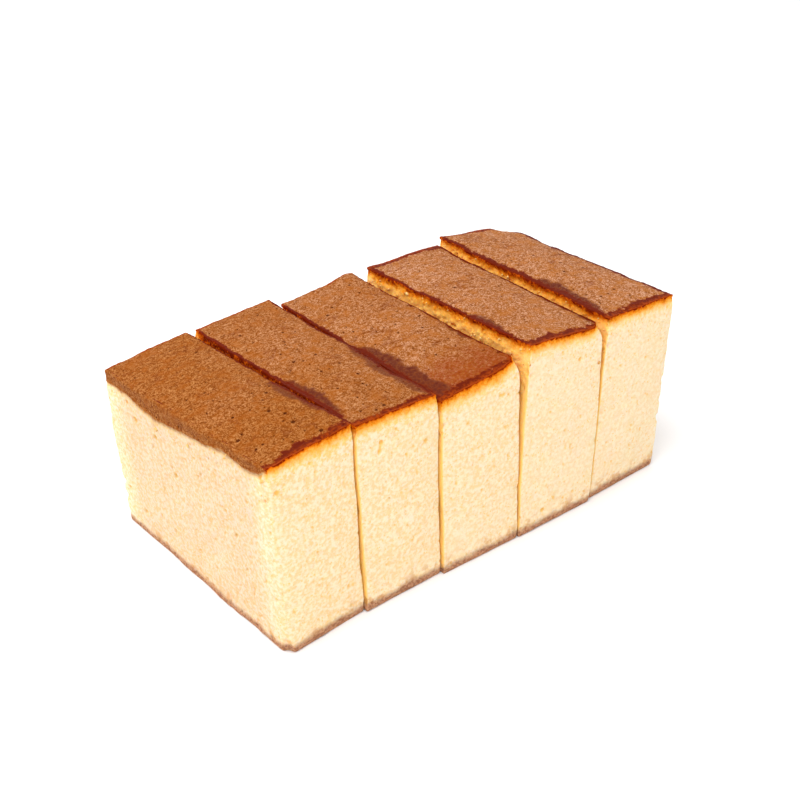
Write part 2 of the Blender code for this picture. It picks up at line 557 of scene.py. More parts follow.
@dataclass(frozen=True)
class CutSponge:
    """How uneven a cut face of the sponge is, in millimetres.

    Attributes:
        swell: Height of the broad lumps.
        swell_size: Width of the broad lumps.
        crumb: Height of the fine lumps.
        crumb_size: Width of the fine lumps.
        pore: Depth of the many small bubbles that the knife opened.
        pores: Where they are.
        hole: Depth of the few large ones.
        holes: Where they are.
        chip: How much has crumbled from the sharp edges.
        chips: Where it has.
        rubble: Height of the clumps of crumb where a face has torn.
        small_clumps: Where the small ones are.
        large_clumps: Where the large ones are.
    """

    swell: float = 0.22
    swell_size: float = 13.0
    crumb: float = 0.12
    crumb_size: float = 2.4
    pore: float = 0.38
    pores: Balls = Balls(Pattern.PORES, 1.7, 0.6, 0.16, 0.5)
    hole: float = 0.75
    holes: Balls = Balls(Pattern.HOLES, 4.6, 0.4, 0.12, 0.3)
    chip: float = 0.9
    chips: Balls = Balls(Pattern.CHIPS, 5.5, 0.6, 0.2, 0.45)
    rubble: float = 0.45
    small_clumps: Balls = Balls(Pattern.SMALL_CLUMPS, 1.9, 0.8, 0.3, 0.75)
    large_clumps: Balls = Balls(Pattern.LARGE_CLUMPS, 4.2, 0.35, 0.25, 0.5)

    def relief(self, points: np.ndarray, edge: np.ndarray, seed: int
               ) -> tuple[np.ndarray, np.ndarray]:
        """Return how far each point stands out, and how hollow the surface is there.

        Broad and fine lumps are added up, and three sizes of round pit are taken away: small
        bubbles, large bubbles, and chips that only count near an edge.

        Args:
            points: Places in millimetres, three numbers in each row.
            edge: 1 on the slice's sharp edges, fading to 0.
            seed: Number of the chance patterns.

        Returns:
            Heights in millimetres, and hollowness from 0 to 1.
        """
        swell = Grain(seed + Pattern.SWELL).layered(points, self.swell_size, 2)
        lumps = self.swell * swell
        fine = Grain(seed + Pattern.CRUMB).layered(points, self.crumb_size, 3)
        pores = self.pores.amount(points, seed)
        holes = self.holes.amount(points, seed)
        chips = self.chips.amount(points, seed) * edge
        height = (lumps + self.crumb * fine - self.pore * pores - self.hole * holes
                  - self.chip * chips)
        hollow = 0.65 * pores + holes + 0.3 * chips - 0.25 * fine
        return height, np.clip(hollow, 0.0, 1.0)

    def torn(self, points: np.ndarray, seed: int) -> np.ndarray:
        """Return how far a torn face lies back at each point, between its clumps of crumb.

        The clumps are two sizes of ball set into the face, and the gaps between them lie back
        by the clumps' height.

        Args:
            points: Places in millimetres, three numbers in each row.
            seed: Number of the chance patterns.

        Returns:
            Heights in millimetres, 0 on top of a clump and less between the clumps.
        """
        clumps = np.maximum(self.small_clumps.amount(points, seed),
                            self.large_clumps.amount(points, seed))
        return self.rubble * (np.sqrt(clumps) - 1)


@dataclass(frozen=True)
class BrownedSkin:
    """How uneven the browned top is, in millimetres.

    Attributes:
        swell: Height of the broad, low waves.
        swell_size: Width of the broad waves.
        wrinkle: Height of the short wrinkles.
        wrinkle_size: Width of a wrinkle.
        squeeze: How much space is squeezed across, along and up for the wrinkles, which makes
            them nearly three times as long across the slice as they are wide.
        pinhole: Depth of the pinholes that steam left.
        pinholes: Where they are.
        pock: Depth of the few larger pinholes.
        pocks: Where they are.
        fleck: Height of the finest roughness.
        fleck_size: Width of the finest roughness.
    """

    swell: float = 0.25
    swell_size: float = 15.0
    wrinkle: float = 0.13
    wrinkle_size: float = 1.7
    squeeze: tuple[float, float, float] = (0.38, 1.0, 1.0)
    pinhole: float = 0.4
    pinholes: Balls = Balls(Pattern.PINHOLES, 2.2, 0.4, 0.14, 0.3)
    pock: float = 0.7
    pocks: Balls = Balls(Pattern.POCKS, 3.4, 0.45, 0.12, 0.3)
    fleck: float = 0.07
    fleck_size: float = 0.95

    def relief(self, points: np.ndarray, pitted: np.ndarray, seed: int
               ) -> tuple[np.ndarray, np.ndarray]:
        """Return how far each point stands out, and how hollow the surface is there.

        The wrinkles are soft lumps in a squeezed space, folded into creases where they pass
        through 0 by taking |lump|.

        Args:
            points: Places in millimetres, three numbers in each row.
            pitted: How much the larger pinholes count, 0 to 1.
            seed: Number of the chance patterns.

        Returns:
            Heights in millimetres, and hollowness from 0 to 1.
        """
        waves = self.swell * Grain(seed + Pattern.WAVES).layered(points, self.swell_size, 2)
        squeezed = points * np.array(self.squeeze)
        wrinkles = Grain(seed + Pattern.WRINKLES).layered(squeezed, self.wrinkle_size, 2)
        crease = np.abs(wrinkles) - 0.35
        pinholes = self.pinholes.amount(points, seed)
        pocks = self.pocks.amount(points, seed) * pitted
        flecks = Grain(seed + Pattern.FLECKS).layered(points, self.fleck_size, 2)
        height = (waves + self.wrinkle * crease - self.pinhole * pinholes - self.pock * pocks
                  + self.fleck * flecks)
        # How hollow each point is, which the finish darkens as painted shade in pinholes and creases.
        hollow = 0.95 * pinholes + 1.4 * pocks - 0.35 * crease - 0.2 * flecks
        return height, np.clip(hollow, 0.0, 1.0)


@dataclass
class SpongeSlice:
    """One slice of the cake, built over its plain solid.

    Attributes:
        solid: The plain solid that it replaces.
        look: What sets this slice apart.
        cut: Unevenness of the cut faces.
        skin: Unevenness of the browned top.
        cells: Cells of the fine grid across and along the slice.
        base_band: Height of the closely gridded band above the base.
        top_band: Height of the closely gridded band under the top.
        rows: Cells up the base band, the middle and the top band.
        solid_radii: Radii of the solid's upright, top and base edges.
        fine_radii: Radii of the same edges on the fine surface, which are sharper.
        crown: How far the middle of the skin stands above its edges.
        belly: How far the middle of each narrow end stands out.
        base_crust: Height of the thin crust round the base.
        skin_curl: How far the skin ends above the top of the narrow ends.
        lip: How far the skin's own cut edge stands out.
        draw_back: How far the sponge draws back under that edge.
        edge_wave: How unevenly the edges of the top have settled.
        knife_wander: How far the knife strayed from a flat cut.
        wander_size: Length of its strays.
        stand_out: The furthest that the fine surface stands outside the solid.
        spans: The slice's mean thickness, length and height.
        unit: Places of its points, across and along from −1 to 1 and up from 0 to 1.
        points: The same places in millimetres.
        quads: Its cells, four point numbers in each row.
        normals: Outward directions at its points.
        marks: What is painted on its points, by name.
    """

    solid: bpy.types.Object
    look: Look
    cut: CutSponge = CutSponge()
    skin: BrownedSkin = BrownedSkin()
    cells: tuple[int, int] = (76, 212)
    base_band: float = 6.0
    top_band: float = 14.0
    rows: tuple[int, int, int] = (12, 60, 35)
    solid_radii: tuple[float, float, float] = (2.0, 1.5, 2.6)
    fine_radii: tuple[float, float, float] = (0.6, 1.3, 1.5)
    crown: float = 1.4
    belly: float = 0.9
    base_crust: float = 3.0
    skin_curl: float = 0.6
    lip: float = 0.22
    draw_back: float = 0.3
    edge_wave: float = 0.28
    knife_wander: float = 0.45
    wander_size: float = 15.0
    stand_out: float = 0.2
    spans: np.ndarray = field(init=False, repr=False)
    unit: np.ndarray = field(init=False, repr=False)
    points: np.ndarray = field(init=False, repr=False)
    quads: np.ndarray = field(init=False, repr=False)
    normals: np.ndarray = field(init=False, repr=False)
    marks: dict[str, np.ndarray] = field(init=False, repr=False, default_factory=dict)

    def corners(self) -> np.ndarray:
        """Return the slice's eight sharp corners, worked out from the solid's rounded ones.

        The solid's point that lies furthest out along a diagonal is the middle of a rounded
        corner, which stands 1 − 1/√3 of a radius inside the sharp one in each direction.

        Returns:
            Places in millimetres, indexed by right, back and top, each 0 or 1.
        """
        mesh = self.solid.data
        places = np.empty(len(mesh.vertices) * 3, dtype=np.float32)
        mesh.vertices.foreach_get("co", places)
        places = places.reshape(-1, 3).astype(float) / MM
        found = np.empty((2, 2, 2, 3))
        upright, top, base = self.solid_radii
        for corner in np.ndindex(2, 2, 2):
            sign = 2.0 * np.array(corner) - 1
            radii = np.array([upright, upright, top if corner[2] else base])
            furthest = places[np.argmax(places @ sign)]
            found[corner] = furthest + sign * radii * (1 - 1 / math.sqrt(3))
        return found

    def rounded(self, points: np.ndarray) -> np.ndarray:
        """Move points on a sharp box onto the same box with rounded edges.

        Each point is measured from the nearest point of the box shrunk by the radii, and drawn
        in to one radius from it.

        Args:
            points: Places on the sharp box in millimetres.

        Returns:
            Places on the rounded box.
        """
        upright, top, base = self.fine_radii
        low = np.array([upright, upright, base])
        high = self.spans - np.array([upright, upright, top])
        inner = np.clip(points, low, high)
        reach = np.tile(low, (len(points), 1))
        reach[points[:, 2] > high[2], 2] = top
        away = (points - inner) / reach
        away /= np.linalg.norm(away, axis=1, keepdims=True)
        return inner + away * reach

    def form(self) -> None:
        """Lay the fine grid over the solid's own form.

        A rounded box is blended between the solid's eight corners, each point taking the
        product of its shares across, along and up. The crown, the belly and the nudges are
        added to that, and so is the wander of each cut, which is the same on both its sides.
        """
        corners = self.corners()
        self.spans = np.array([np.linalg.norm(np.diff(corners, axis=axis), axis=-1).mean()
                               for axis in range(3)])
        height = self.spans[2]
        ends = (0.0, self.base_band, height - self.top_band, height)
        levels = [np.linspace(ends[band], ends[band + 1], self.rows[band] + 1)[:-1]
                  for band in range(3)]
        lines = (np.linspace(0, self.spans[0], self.cells[0] + 1),
                 np.linspace(0, self.spans[1], self.cells[1] + 1),
                 np.concatenate([*levels, [height]]))
        box, self.quads = BoxGrid(lines).build()
        share = self.rounded(box) / self.spans
        placed = np.zeros_like(share)
        for corner in np.ndindex(2, 2, 2):
            part = np.prod(np.where(corner, share, 1 - share), axis=1)
            placed += part[:, None] * corners[corner]
        across, along, up = 2 * share[:, 0] - 1, 2 * share[:, 1] - 1, share[:, 2]
        placed[:, 1] += self.belly * along * (1 - across ** 2) * 4 * up * (1 - up)
        placed[:, 2] += self.crown * (1 - across ** 2) * (1 - along ** 2) * up ** 4
        self.unit = np.stack([across, along, up], axis=1)
        flat = placed * np.array([0.0, 1.0, 1.0])
        for side, cut in zip((-1, 1), self.look.cuts):
            wander = Grain(cut).layered(flat, self.wander_size, 2)
            placed[:, 0] += self.knife_wander * wander * ease(side * across, 0.0, 1.0)
        for nudge in self.look.nudges:
            placed += nudge.shift(self.unit)
        self.points = placed
        self.normals = facing(placed, self.quads)

    def depths(self, fold: np.ndarray, near_side: np.ndarray, near_end: np.ndarray,
               broad: np.ndarray, fine: np.ndarray) -> np.ndarray:
        """Return how far each point lies in from the skin.

        That is minus the distance to the nearest edge on the top, and the distance under the
        top on the cut faces, less the fold of the skin on the left one. Where the browning goes
        deep the distance counts for less.

        Args:
            fold: How far the skin folds down over each point's face.
            near_side: Distance to the nearer long face.
            near_end: Distance to the nearer narrow end.
            broad: Broad lumps that the skin's border strays by.
            fine: Fine lumps that it strays by.

        Returns:
            One number of millimetres for each point.
        """
        look = self.look
        below = (1 - self.unit[:, 2]) * self.spans[2]
        inward = np.minimum(near_side, near_end)
        into = below - np.minimum(inward, 6.0) - fold + 0.35 * broad + 0.3 * fine
        for worn in look.worn:
            into += worn.bare(self.unit, self.spans)
        end_on = ease(np.abs(self.normals[:, 1]), 0.5, 0.9)
        into += self.skin_curl * end_on
        end_share = np.maximum(end_on, ease(near_end, 7.0, 1.0))
        browning = look.side_browning + (look.front_browning - look.side_browning) * end_share
        browning += (0.35 - browning) * ease(fold, 0.5, 2.0)
        return np.where(into > 0, into / browning, into)

    def mark(self) -> None:
        """Work out where each finish lies, as one number for each point.

        into is the distance in from the skin. rim and stain are 1 on the dark band round the
        top and on the damp patches. fold is 1 where the skin folds down over the left face,
        between on a long face with a neighbour, where the finish paints warm light, and
        open_side_shade on one without, where it paints shade. end_edge and end_near are 1 at the
        narrow ends and fade within 3 and 10 mm. pale is a painted sheen on the skin and a painted
        haze on the cut faces, with random pale patches, and flush is the redder front of the skin.
        foot is 1 low down, and base is 1 on the base crust. The borders wander by two sizes of
        lump, so that none of them is straight.
        """
        look = self.look
        across, along, up = self.unit.T
        broad = Grain(look.seed + Pattern.BROAD_BORDER).layered(self.points, 6.0, 2)
        fine = Grain(look.seed + Pattern.FINE_BORDER).layered(self.points, 1.6, 2)
        near_side = (1 - np.abs(across)) * self.spans[0] / 2
        from_front = (1 + along) * self.spans[1] / 2
        from_back = (1 - along) * self.spans[1] / 2
        near_end = np.minimum(from_front, from_back)
        places, drops = zip(*look.skin_fold)
        fold = np.interp(along, places, drops) * ease(-self.normals[:, 0], 0.2, 0.8)
        self.marks["into"] = self.depths(fold, near_side, near_end, broad, fine)
        self.marks["fold"] = ease(fold, 0.5, 2.0)
        open_side = look.open_side.value if look.open_side else 0
        outward = self.normals[:, 0] * open_side
        # Faces with a neighbour, where the finish paints warm light and the relief stays low.
        self.marks["between"] = ease(np.abs(self.normals[:, 0]), 0.5, 0.9) * (outward <= 0)
        # Painted shade on a long face without a neighbour, fading out near the narrow ends.
        self.marks["open_side_shade"] = ease(outward, 0.5, 0.9) * ease(near_end, 0.5, 14.0)
        self.marks["end_edge"] = ease(near_end, 3.2, 1.0)
        self.marks["end_near"] = ease(near_end, 10.0, 1.0)
        wander = 0.32 * broad + 0.3 * fine
        rim = np.zeros(len(across))
        for distance, width in ((from_front, look.front_rim), (from_back, look.back_rim),
                                (near_side, look.side_rim)):
            rim = np.maximum(rim, ease(distance, width * (1.15 + wander), width * (0.5 + wander)))
        stain = np.zeros(len(across))
        for patch in look.stains:
            stain = np.maximum(stain, patch.amount(across, along, broad + fine))
        self.marks["stain"] = stain
        rim = np.maximum(rim, stain * ease(near_side, 2.6 + 1.2 * fine, 0.8))
        self.marks["rim"] = rim * (1 - self.marks["fold"])
        # Painted sheen and haze for each slice, with random pale patches about 22 mm wide laid over
        # it.
        patches = Grain(look.seed + Pattern.PALE_PATCHES).layered(self.points, 22.0, 2)
        self.marks["pale"] = look.pale + 0.22 * patches
        self.marks["flush"] = look.flush * ease(along + 0.12 * broad, -0.35, -0.95)
        bottom = up * self.spans[2]
        edge_height = self.base_crust * (1 + 0.2 * broad + 0.12 * fine)
        self.marks["base"] = ease(bottom - edge_height, 1.6, -1.3)
        self.marks["foot"] = ease(bottom, 9.0, 2.0)

    def roughen(self) -> None:
        """Give the form its fine relief, and note how hollow each point is.

        Cut sponge and skin have reliefs of their own, which meet where the skin ends. The
        skin's edge stands out as a thin lip and the sponge draws back under it. The base stays
        flat, and a face with a neighbour hardly stands out, so that the slices never touch.
        """
        look = self.look
        across, along, up = self.unit.T
        into = self.marks["into"]
        near_side = (1 - np.abs(across)) * self.spans[0] / 2
        near_end = (1 - np.abs(along)) * self.spans[1] / 2
        edge = ease(np.maximum(near_side, near_end), 3.5, 0.8) * ease(up, 1.0, 0.97)
        cut_height, cut_hollow = self.cut.relief(self.points, edge, look.seed)
        pitted = look.pitted * ease(along, 0.4, -0.6)
        skin_height, skin_hollow = self.skin.relief(self.points, pitted, look.seed)
        cake = ease(into, 0.0, 1.6)
        lip = self.lip * ease(into, -0.8, 0.2) * ease(into, 1.8, 0.8)
        draw = -self.draw_back * ease(into, 1.0, 2.2) * ease(into, 6.5, 2.5)
        height = cake * cut_height + (1 - cake) * skin_height + lip + draw
        near_edge = ease(np.abs(into), 3.5, 0.5)
        wave = Grain(look.seed + Pattern.SETTLED_EDGE).layered(self.points, 9.0, 2)
        height += self.edge_wave * near_edge * (wave - 0.5)
        torn = look.torn * cake * ease(-self.normals[:, 0], 0.5, 0.9) * ease(into, 30.0, 12.0)
        rubble = torn * self.cut.torn(self.points, look.seed)
        height += rubble
        height = np.minimum(height, self.stand_out * (1 - 0.7 * self.marks["between"]))
        height *= ease(-self.normals[:, 2], 0.9, 0.4)
        self.points = self.points + self.normals * height[:, None]
        self.points[:, 2] = np.maximum(self.points[:, 2], 0.0)
        hollow = cake * (cut_hollow - 0.6 * rubble) + (1 - cake) * skin_hollow
        self.marks["hollow"] = np.clip(hollow, 0.0, 1.0)

    def build(self) -> bpy.types.Object:
        """Build the slice in place of its solid.

        Returns:
            The slice, still without its finish.
        """
        self.form()
        self.mark()
        self.roughen()
        item = surface_object(f"sponge_{self.solid.name}", self.points, self.quads)
        for name, values in self.marks.items():
            paint(item, name, values)
        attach(item, BODY)
        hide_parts(self.solid.name)
        return item


# --------------------------------------------------------------------------------------------
# Clinging crumbs


@dataclass
class Crumbs:
    """Loose crumbs of sponge that cling to the slices.

    Attributes:
        seed: Number of the chance patterns.
        count: How many crumbs there are on a slice that was cut cleanly.
        torn_count: How many more there are on one with a torn face.
        small: Smallest radius in millimetres.
        large: Largest radius in millimetres.
        rings: Rings of points round a crumb between its two ends.
        spokes: Points in each ring.
    """

    seed: int = 71
    count: int = 12
    torn_count: int = 34
    small: float = 0.2
    large: float = 0.8
    rings: int = 4
    spokes: int = 7

    def ball(self) -> tuple[np.ndarray, np.ndarray]:
        """Return a small closed ball of unit radius, its rings drawn round the poles.

        Returns:
            Points, and triangles that face outwards.
        """
        tilt = np.linspace(0, math.pi, self.rings + 2)[1:-1, None]
        turn = np.linspace(0, 2 * math.pi, self.spokes, endpoint=False)[None, :]
        ring = np.stack([np.sin(tilt) * np.cos(turn), np.sin(tilt) * np.sin(turn),
                         np.cos(tilt) * np.ones_like(turn)], axis=-1).reshape(-1, 3)
        points = np.concatenate([[[0, 0, 1.0]], ring, [[0, 0, -1.0]]])
        here = np.arange(self.spokes)
        onward = (here + 1) % self.spokes
        faces = [np.stack([np.zeros_like(here), 1 + here, 1 + onward], axis=1)]
        for row in range(self.rings - 1):
            top, low = 1 + row * self.spokes, 1 + (row + 1) * self.spokes
            faces.append(np.stack([top + here, low + here, low + onward], axis=1))
            faces.append(np.stack([top + here, low + onward, top + onward], axis=1))
        last = 1 + (self.rings - 1) * self.spokes
        faces.append(np.stack([last + here, np.full_like(here, len(points) - 1),
                               last + onward], axis=1))
        return points, np.concatenate(faces)

    def places(self, piece: SpongeSlice, chance: np.random.Generator) -> np.ndarray:
        """Return where crumbs cling to one slice, most of them just under the skin.

        A point of the slice is likelier to hold a crumb on the upper part of its left face and
        along its edges than anywhere else.

        Args:
            piece: The finished slice.
            chance: Source of chance numbers.

        Returns:
            Places in millimetres, three numbers in each row.
        """
        into = piece.marks["into"]
        left = ease(-piece.normals[:, 0], 0.5, 0.9)
        under_skin = ease(into, 1.5, 3.0) * ease(into, 14.0, 6.0)
        skin_edge = ease(into, -5.0, -1.0) * ease(into, 0.5, -0.5)
        likely = left * under_skin + 0.004 * skin_edge + 0.01 * (into > 1)
        likely *= piece.normals[:, 2] > -0.5
        count = self.count + round(piece.look.torn * self.torn_count)
        chosen = chance.choice(len(into), count, replace=False, p=likely / likely.sum())
        return piece.points[chosen] + 0.1 * piece.normals[chosen]

    def build(self, pieces: list[SpongeSlice]) -> bpy.types.Object:
        """Return all the crumbs as one object.

        Each crumb is the ball stretched by three chance sizes and made lumpy by
        1 + 0.6 · lump, and stands at its place.

        Args:
            pieces: The finished slices.

        Returns:
            The crumbs, still without their finish.
        """
        chance = np.random.default_rng(self.seed)
        centres = np.concatenate([self.places(piece, chance) for piece in pieces])
        ball, faces = self.ball()
        sizes = self.small + (self.large - self.small) * chance.random(len(centres)) ** 3
        stretch = sizes[:, None, None] * chance.uniform(0.75, 1.25, (len(centres), 1, 3))
        spread = np.tile(ball, (len(centres), 1, 1)) + 7.0 * np.arange(len(centres))[:, None, None]
        lumps = Grain(self.seed).smooth(spread.reshape(-1, 3), 0.9).reshape(len(centres), -1, 1)
        points = centres[:, None] + ball[None] * stretch * (1 + 0.6 * lumps)
        numbers = faces[None] + len(ball) * np.arange(len(centres))[:, None, None]
        item = surface_object("clinging_crumbs", points.reshape(-1, 3), numbers.reshape(-1, 3))
        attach(item, BODY)
        return item


# --------------------------------------------------------------------------------------------
# Finishes


@dataclass
class FinishNodes:
    """Short ways to add and join the nodes of one finish.

    Attributes:
        material: The material that is being made.
    """

    material: bpy.types.Material

    def add(self, kind: str, **values: object) -> bpy.types.Node:
        """Add a node.

        Args:
            kind: The node's type.
            **values: Settings of the node itself.

        Returns:
            The new node.
        """
        node = self.material.node_tree.nodes.new(kind)
        for name, value in values.items():
            setattr(node, name, value)
        return node

    def feed(self, socket: bpy.types.NodeSocket, value: object) -> None:
        """Join a socket to another one, or set it to a number or colour.

        Args:
            socket: The input to fill.
            value: An output socket, or what to set.
        """
        if isinstance(value, bpy.types.NodeSocket):
            self.material.node_tree.links.new(value, socket)
        else:
            socket.default_value = value

    def painted(self, name: str) -> bpy.types.NodeSocket:
        """Return the number that was painted on the points under a name."""
        return self.add("ShaderNodeAttribute", attribute_name=name).outputs["Fac"]

    def lumps(self, size: float, detail: float = 2.0, roughness: float = 0.55,
              stretch: tuple[float, float, float] = (1.0, 1.0, 1.0)) -> bpy.types.NodeSocket:
        """Return soft lumps in the cake's own space, about 0 to 1.

        Args:
            size: Width of a lump in millimetres.
            detail: How many finer layers are added.
            roughness: Strength of the finer layers.
            stretch: How much the lumps are squeezed in each direction.

        Returns:
            The lumps' value.
        """
        place = self.add("ShaderNodeTexCoord").outputs["Object"]
        mapping = self.add("ShaderNodeMapping")
        self.feed(mapping.inputs["Vector"], place)
        self.feed(mapping.inputs["Scale"], stretch)
        noise = self.add("ShaderNodeTexNoise")
        self.feed(noise.inputs["Vector"], mapping.outputs["Vector"])
        self.feed(noise.inputs["Scale"], 1 / (size * MM))
        self.feed(noise.inputs["Detail"], detail)
        self.feed(noise.inputs["Roughness"], roughness)
        return noise.outputs["Fac"]

    def bubbles(self, size: float) -> bpy.types.NodeSocket:
        """Return the distance to the nearest of many scattered dots, about 0 to 1.

        Args:
            size: Space between the dots in millimetres.

        Returns:
            The distance, as a part of that space.
        """
        cells = self.add("ShaderNodeTexVoronoi")
        self.feed(cells.inputs["Vector"], self.add("ShaderNodeTexCoord").outputs["Object"])
        self.feed(cells.inputs["Scale"], 1 / (size * MM))
        return cells.outputs["Distance"]

    def grade(self, value: bpy.types.NodeSocket, start: float, end: float, low: float = 0.0,
              high: float = 1.0) -> bpy.types.NodeSocket:
        """Return low before start and high after end, joined by a smooth curve.

        Args:
            value: The number to grade.
            start: Where the change begins.
            end: Where it is complete.
            low: The result before the change.
            high: The result after it.

        Returns:
            The graded number.
        """
        node = self.add("ShaderNodeMapRange", interpolation_type="SMOOTHSTEP")
        for name, number in (("Value", value), ("From Min", start), ("From Max", end),
                             ("To Min", low), ("To Max", high)):
            self.feed(node.inputs[name], number)
        return node.outputs["Result"]

    def sums(self, operation: str, first: object, second: object) -> bpy.types.NodeSocket:
        """Join two numbers by arithmetic.

        Args:
            operation: The arithmetic's name.
            first: A socket or a number.
            second: Another.

        Returns:
            The result.
        """
        node = self.add("ShaderNodeMath", operation=operation)
        self.feed(node.inputs[0], first)
        self.feed(node.inputs[1], second)
        return node.outputs["Value"]

    def plus(self, first: object, second: object) -> bpy.types.NodeSocket:
        """Return the sum of two numbers."""
        return self.sums("ADD", first, second)

    def minus(self, first: object, second: object) -> bpy.types.NodeSocket:
        """Return the first number less the second."""
        return self.sums("SUBTRACT", first, second)

    def times(self, first: object, second: object) -> bpy.types.NodeSocket:
        """Return two numbers multiplied."""
        return self.sums("MULTIPLY", first, second)

    def larger(self, first: object, second: object) -> bpy.types.NodeSocket:
        """Return the larger of two numbers."""
        return self.sums("MAXIMUM", first, second)

    def blend(self, share: object, first: object, second: object,
              way: str = "MIX") -> bpy.types.NodeSocket:
        """Return two colours blended.

        Args:
            share: How much of the second colour shows.
            first: The colour underneath.
            second: The colour on top.
            way: How they are blended.

        Returns:
            The blended colour.
        """
        node = self.add("ShaderNodeMix", data_type="RGBA", blend_type=way)
        self.feed(node.inputs["Factor"], share)
        self.feed(node.inputs[6], first)
        self.feed(node.inputs[7], second)
        return node.outputs[2]

    def scale(self, value: bpy.types.NodeSocket,
              stops: tuple[tuple[float, Colour], ...]) -> bpy.types.NodeSocket:
        """Return the colour that a number picks from a graded scale.

        Args:
            value: The number, 0 to 1.
            stops: Places on the scale with their colours.

        Returns:
            The colour.
        """
        node = self.add("ShaderNodeValToRGB")
        ramp = node.color_ramp
        while len(ramp.elements) < len(stops):
            ramp.elements.new(0.5)
        for element, (place, colour) in zip(ramp.elements, stops):
            element.position = place
            element.color = colour
        self.feed(node.inputs["Fac"], value)
        return node.outputs["Color"]


@dataclass(frozen=True)
class SkinColours:
    """Colours of the browned top.

    Attributes:
        deep: The darkest specks.
        brown: The commonest colour.
        tan: The palest specks.
        ginger: Warm patches a few millimetres wide.
        pinhole: Painted shade inside the pinholes and in the hollows between wrinkles.
        rim: The baked band near the edges.
        ember: Brighter specks in that band, and its outer side.
        wrinkle: Fine lines in the skin.
        damp: Stains.
        flush: The redder front of one slice.
        least_sheen_tone: What the whole skin is multiplied by where the painted sheen is least.
        most_sheen_tone: What it is multiplied by where the painted sheen is most, which pales it.
    """

    deep: Colour = shade(118, 56, 10)
    brown: Colour = shade(150, 85, 32)
    tan: Colour = shade(190, 130, 82)
    ginger: Colour = shade(158, 84, 20)
    pinhole: Colour = shade(70, 22, 0)
    rim: Colour = shade(98, 27, 8)
    ember: Colour = shade(150, 58, 9)
    wrinkle: Colour = shade(112, 48, 12)
    damp: Colour = shade(92, 36, 22)
    flush: Colour = shade(134, 50, 6)
    # The two ends of the painted sheen: the skin is multiplied by a blend of these.
    least_sheen_tone: Colour = (0.85, 0.8, 0.64, 1.0)
    most_sheen_tone: Colour = (1.13, 1.37, 2.3, 1.0)


@dataclass(frozen=True)
class CrumbColours:
    """Colours of the cut sponge, from the skin's edge inwards, and of the base.

    Attributes:
        burnt: The skin's own cut edge.
        caramel: Just under the skin.
        amber: Two or three millimetres in.
        honey: Three or four millimetres in.
        straw: Half a centimetre in.
        gap_light: Painted warm light on the sponge between two slices, for light scattered in the
            gap.
        seam: Painted warm light in the narrow ends of the cuts between two slices.
        open_side_shade: Painted shade: what the sponge is multiplied by on a long face without a
            neighbour.
        cream: The sponge.
        pale: The palest lumps of the sponge, and the colour of the painted haze.
        yolk: Inside of a bubble.
        base: The thin base crust.
        base_dark: Dark specks in the base crust.
        toast: Blotches just above the base crust.
    """

    burnt: Colour = shade(112, 26, 0)
    caramel: Colour = shade(198, 88, 3)
    amber: Colour = shade(230, 138, 24)
    honey: Colour = shade(247, 174, 72)
    straw: Colour = shade(243, 199, 112)
    gap_light: Colour = shade(252, 181, 90)
    seam: Colour = shade(253, 202, 108)
    open_side_shade: Colour = (0.85, 0.8, 0.82, 1.0)
    cream: Colour = shade(240, 206, 152)
    pale: Colour = shade(245, 226, 194)
    yolk: Colour = shade(244, 192, 96)
    base: Colour = shade(192, 142, 108)
    base_dark: Colour = shade(150, 102, 76)
    toast: Colour = shade(208, 148, 86)


